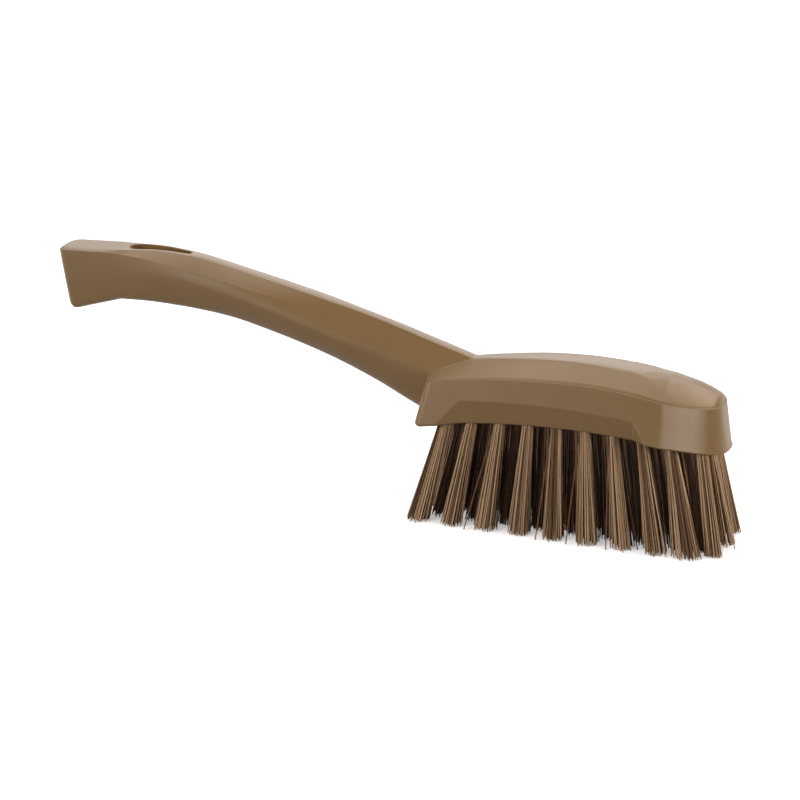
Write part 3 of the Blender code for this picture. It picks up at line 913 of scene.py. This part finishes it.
class MouldingSettings(PropertyGroup):
    """Sizes and finish of the block and handle."""

    edge_round: FloatProperty(
        name="Edge round",
        description="Width of the rounding along the rim and the shoulder",
        default=0.45 * MM,
        unit="LENGTH",
    )
    colour: FloatVectorProperty(
        name="Colour",
        description="Colour of the polypropylene",
        default=linear("#7b5d35"),
        subtype="COLOR",
        min=0.0,
        max=1.0,
    )
    roughness: FloatProperty(
        name="Roughness",
        description="Mean roughness of the mould finish",
        default=0.34,
        subtype="FACTOR",
    )
    flow_mark: FloatProperty(
        name="Flow mark",
        description="Size of the faint clouds where the melt flowed",
        default=22.0 * MM,
        unit="LENGTH",
    )
    grain: FloatProperty(
        name="Grain",
        description="Size of the mould's grain. The real grain is under 0.2 mm, so it is drawn coarser to show",
        default=0.55 * MM,
        unit="LENGTH",
    )


class TuftSettings(PropertyGroup):
    """Sizes and colours of the filaments."""

    filament: FloatProperty(
        name="Filament",
        description="Diameter of one filament, drawn a little thicker than the real one so that it shows",
        default=0.46 * MM,
        unit="LENGTH",
    )
    count: IntProperty(
        name="Filaments in a tuft",
        description="Free ends in each tuft, two to each folded filament",
        default=64,
    )
    uneven: FloatProperty(
        name="Uneven tips",
        description="Usual difference in height between trimmed tips",
        default=0.45 * MM,
        unit="LENGTH",
    )
    wander: FloatProperty(
        name="Wander",
        description="How far a tip strays from its place in an even fan",
        default=0.16 * MM,
        unit="LENGTH",
    )
    stray_share: FloatProperty(
        name="Strays",
        description="Share of the filaments that stand away from their tuft",
        default=0.02,
        subtype="FACTOR",
    )
    dark: FloatVectorProperty(
        name="Darkest strand",
        description="Colour of the darkest filaments",
        default=linear("#5f4329"),
        subtype="COLOR",
        min=0.0,
        max=1.0,
    )
    light: FloatVectorProperty(
        name="Lightest strand",
        description="Colour of the lightest filaments",
        default=linear("#cfab86"),
        subtype="COLOR",
        min=0.0,
        max=1.0,
    )


class StageSettings(PropertyGroup):
    """Camera, light and floor."""

    azimuth: FloatProperty(
        name="Azimuth",
        description="How far the camera stands round from the brush's near side towards its nose",
        default=math.radians(21.0),
        subtype="ANGLE",
    )
    elevation: FloatProperty(
        name="Elevation",
        description="How far the camera looks down",
        default=math.radians(19.5),
        subtype="ANGLE",
    )
    distance: FloatProperty(
        name="Distance",
        description="From the camera to the point that it looks at",
        default=1.0,
        unit="LENGTH",
    )
    lens: FloatProperty(
        name="Lens",
        description="Focal length for a sensor 36 mm wide",
        default=121.53,
        unit="CAMERA",
    )
    top_light: FloatProperty(
        name="Top light",
        description="Power of the large soft box above the brush",
        default=4.8,
        unit="POWER",
    )
    back_light: FloatProperty(
        name="Back light",
        description="Power of the low soft box behind the brush, whose gleam lies along its top",
        default=3.4,
        unit="POWER",
    )
    high_light: FloatProperty(
        name="High back light",
        description="Power of the soft box high behind the brush",
        default=5.0,
        unit="POWER",
    )
    far_light: FloatProperty(
        name="Far light",
        description="Power of the soft box behind the nose",
        default=4.6,
        unit="POWER",
    )
    nose_light: FloatProperty(
        name="Nose light",
        description="Power of the long low soft box that only gleams, along the side of the nose",
        default=8.5,
        unit="POWER",
    )
    slope_light: FloatProperty(
        name="Slope light",
        description="Power of the small soft box that only gleams, on the roof's near slope",
        default=1.7,
        unit="POWER",
    )
    dome_light: FloatProperty(
        name="Dome light",
        description="Power of the soft box that only gleams, on the top of the nose",
        default=10.0,
        unit="POWER",
    )
    end_light: FloatProperty(
        name="End light",
        description="Power of the low soft box off the end of the nose, which shades and doesn't gleam",
        default=13.0,
        unit="POWER",
    )
    front_light: FloatProperty(
        name="Front light",
        description="Power of the small low soft box in front that only gleams, on the walls",
        default=1.3,
        unit="POWER",
    )
    hook_light: FloatProperty(
        name="Hook light",
        description="Power of the large soft box far off in front of the hooked end",
        default=72.0,
        unit="POWER",
    )
    fill: FloatProperty(
        name="Fill light",
        description="Strength of the even light from all round",
        default=0.01,
    )
    paper_shade: FloatProperty(
        name="Paper shade",
        description="How much of the light that falls on the paper it throws back at the brush",
        default=0.05,
        subtype="FACTOR",
    )
    paper_glow: FloatProperty(
        name="Paper glow",
        description="How far the paper is burnt out to white, to the camera only",
        default=0.4,
        subtype="FACTOR",
    )


class BRUSH_OT_moulding(Operator):
    """Build the block and handle as one moulding"""

    bl_idname = "brush.moulding"
    bl_label = "Moulding"

    def execute(self, context):
        look = context.scene.brush_moulding
        body = make_block(look.edge_round / MM)
        combine(body, hole_cutters(), "DIFFERENCE")
        handle = make_handle()
        combine(handle, slot_cutter(), "DIFFERENCE")
        combine(body, handle, "UNION")
        body.name = "moulding"
        body.data.shade_smooth()
        body.modifiers.new("flat faces stay flat", "WEIGHTED_NORMAL")
        apply_modifiers(body)
        body.data.materials.clear()
        body.data.materials.append(moulded_polypropylene(look))
        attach(body, "root")
        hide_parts(MOULDING_NODE)
        return {"FINISHED"}


def filament_line(mouth, tip, reach, fan, share, angle, look, draw):
    """Points down one filament, from inside its hole to its trimmed end."""
    axis = (tip - mouth).normalized()
    across = axis.cross(Vector((0.0, 1.0, 0.0))).normalized()
    up = axis.cross(across)
    out = across * math.cos(angle) + up * math.sin(angle)
    packed = HOLE_RADIUS * MM - look.filament * PACKING
    root = mouth - axis * HOLE_SHOWN_DEPTH * ROOT_SHARE * MM + out * share * packed
    flat = Vector((out.x * fan, out.y, 0.0))
    end = tip + flat * share * (reach - look.filament / 2)
    end += Vector((draw.gauss(0, 1), draw.gauss(0, 1), 0.0)) * look.wander
    if draw.random() < look.stray_share:
        end += flat * draw.uniform(*STRAY_OUT) * MM
    end.z = min(abs(draw.gauss(0, 1)) * look.uneven, UNEVEN_LIMIT * look.uneven)
    bow = Vector((draw.gauss(0, 1), draw.gauss(0, 1), 0.0)) * BOW * MM
    leaves = mouth + out * share * packed
    points = [root, leaves]
    for k in range(1, FILAMENT_STEPS + 1):
        t = k / FILAMENT_STEPS
        flare = t**FLARE
        line = leaves.lerp(end, t) + (end - leaves - axis * (end - leaves).length) * (flare - t)
        points.append(line + bow * math.sin(math.pi * t))
    return points


def stray_line(mouth, tip, reach):
    """Points down a filament that stands out of its tuft towards the handle, from in its hole to its end."""
    leaves = mouth + Vector((-1.0, -1.0, 0.0)) * HOLE_RADIUS * STRAY_ROOT * MM
    root = leaves - (tip - mouth).normalized() * HOLE_SHOWN_DEPTH * ROOT_SHARE * MM
    return [root, leaves, tip - Vector((reach, STRAY_NEAR, 0.0)) * MM]


def add_filament(bm, points, radius):
    """A thin closed tube through the points, cut square at its end."""
    rings = []
    for i, point in enumerate(points):
        before, after = points[max(i - 1, 0)], points[min(i + 1, len(points) - 1)]
        axis = (after - before).normalized()
        if i == len(points) - 1:
            axis = Vector((0.0, 0.0, -1.0)).lerp(axis, 0.5).normalized()
        rings.append([bm.verts.new(place) for place in ring_about(point, axis, radius, FILAMENT_SIDES)])
    for first, second in zip(rings, rings[1:]):
        bridge(bm, first, second)
    bm.faces.new(rings[0])
    bm.faces.new(rings[-1])


class BRUSH_OT_tufts(Operator):
    """Build every tuft as a bundle of separate filaments"""

    bl_idname = "brush.tufts"
    bl_label = "Tufts"

    def execute(self, context):
        look = context.scene.brush_tufts
        finish = drawn_polyester(look)
        golden = math.pi * (3 - math.sqrt(5))
        for name in tuft_names():
            draw = random.Random(name)
            mouth, tip, reach = tuft_line(name)
            fan = NOSE_FAN if mouth.x > to_frame(NOSE_START, 0.0, 0.0).x else 1.0
            turn = draw.uniform(0, 2 * math.pi)
            bm = bmesh.new()
            for k in range(look.count):
                share = math.sqrt((k + 0.5) / look.count)
                points = filament_line(mouth, tip, reach, fan, share, turn + k * golden, look, draw)
                add_filament(bm, points, look.filament / 2)
            if name in STRAY_REACH:
                add_filament(bm, stray_line(mouth, tip, STRAY_REACH[name]), look.filament / 2)
            tuft = make_object(name.replace("tuft", "filaments"), bm)
            tuft.data.shade_smooth()
            tuft.data.set_sharp_from_angle(angle=CUT_EDGE)
            tuft.data.materials.append(finish)
            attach(tuft, "root")
            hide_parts(name)
        return {"FINISHED"}


def away_from_brush(azimuth, elevation):
    """Direction out from the brush, for an angle round from its near side and an angle up."""
    level = math.cos(elevation)
    return Vector((math.sin(azimuth) * level, -math.cos(azimuth) * level, math.sin(elevation)))


def hang(obj, aim, away, distance):
    """Places an object off from the point that it faces, and links it to the scene."""
    turn = away.to_track_quat("Z", "Y").to_matrix().to_4x4()
    obj.matrix_world = Matrix.Translation(aim + away * distance) @ turn
    bpy.context.scene.collection.objects.link(obj)


def add_camera(look):
    """The camera, aimed at a point low in the middle of the brush."""
    data = bpy.data.cameras.new("camera")
    data.lens = look.lens
    data.sensor_width = SENSOR_WIDTH
    data.clip_end = FARTHEST_SEEN
    camera = bpy.data.objects.new("camera", data)
    hang(camera, to_frame(*CAMERA_AIM), away_from_brush(look.azimuth, look.elevation), look.distance)
    bpy.context.scene.camera = camera


def add_soft_box(name, azimuth, elevation, distance, sides, shades, gleams, power):
    """A rectangular lamp that faces the brush.

    One that doesn't shade is seen only as a gleam on the surfaces, and one that doesn't gleam only shades them.
    """
    data = bpy.data.lights.new(name, "AREA")
    data.shape = "RECTANGLE"
    data.size, data.size_y = sides
    data.energy = power
    lamp = bpy.data.objects.new(name, data)
    lamp.visible_diffuse = shades
    lamp.visible_glossy = gleams
    away = away_from_brush(math.radians(azimuth), math.radians(elevation))
    hang(lamp, Vector(LAMP_AIM), away, distance)


def set_world(fill):
    """Even light from all round, with the studio's white walls for what looks straight at them."""
    world = bpy.data.worlds.new("studio")
    bpy.context.scene.world = world
    world.use_nodes = True
    tree = world.node_tree
    levels = {"To Min": fill, "To Max": 1.0}
    level = add_node(tree, "ShaderNodeMapRange", levels, {"Value": seen_directly(tree)})
    back = tree.nodes["Background"]
    back.inputs["Color"].default_value = (1.0, 1.0, 1.0, 1.0)
    tree.links.new(level.outputs["Result"], back.inputs["Strength"])


class BRUSH_OT_stage(Operator):
    """Set up the floor, the soft light and the camera"""

    bl_idname = "brush.stage"
    bl_label = "Stage"

    def execute(self, context):
        look = context.scene.brush_stage
        bm = bmesh.new()
        bmesh.ops.create_grid(bm, x_segments=8, y_segments=8, size=PAPER_HALF_SIZE)
        floor = make_object("floor", bm)
        floor.data.materials.append(matt_studio_paper(look))
        for name, place in LAMPS.items():
            add_soft_box(name, *place, getattr(look, name))
        set_world(look.fill)
        add_camera(look)
        context.scene.view_settings.view_transform = "Standard"
        return {"FINISHED"}


class BRUSH_PT_sidebar(Panel):
    """Lists the brush's operators and settings"""

    bl_idname = "BRUSH_PT_sidebar"
    bl_label = "Scrub Brush"
    bl_space_type = "VIEW_3D"
    bl_region_type = "UI"
    bl_category = "Brush"

    def draw(self, context):
        for operator, group in (
            (BRUSH_OT_moulding, context.scene.brush_moulding),
            (BRUSH_OT_tufts, context.scene.brush_tufts),
            (BRUSH_OT_stage, context.scene.brush_stage),
        ):
            box = self.layout.box()
            box.operator(operator.bl_idname)
            for name in group.__annotations__:
                box.prop(group, name)


SETTINGS = {
    "brush_moulding": MouldingSettings,
    "brush_tufts": TuftSettings,
    "brush_stage": StageSettings,
}
CLASSES = (
    *SETTINGS.values(),
    BRUSH_OT_moulding,
    BRUSH_OT_tufts,
    BRUSH_OT_stage,
    BRUSH_PT_sidebar,
)


def register():
    for cls in CLASSES:
        bpy.utils.register_class(cls)
    for name, group in SETTINGS.items():
        setattr(bpy.types.Scene, name, PointerProperty(type=group))


def unregister():
    for name in SETTINGS:
        delattr(bpy.types.Scene, name)
    for cls in reversed(CLASSES):
        bpy.utils.unregister_class(cls)


def main():
    register()
    bpy.ops.brush.moulding()
    bpy.ops.brush.tufts()
    bpy.ops.brush.stage()


if __name__ == "__main__":
    main()
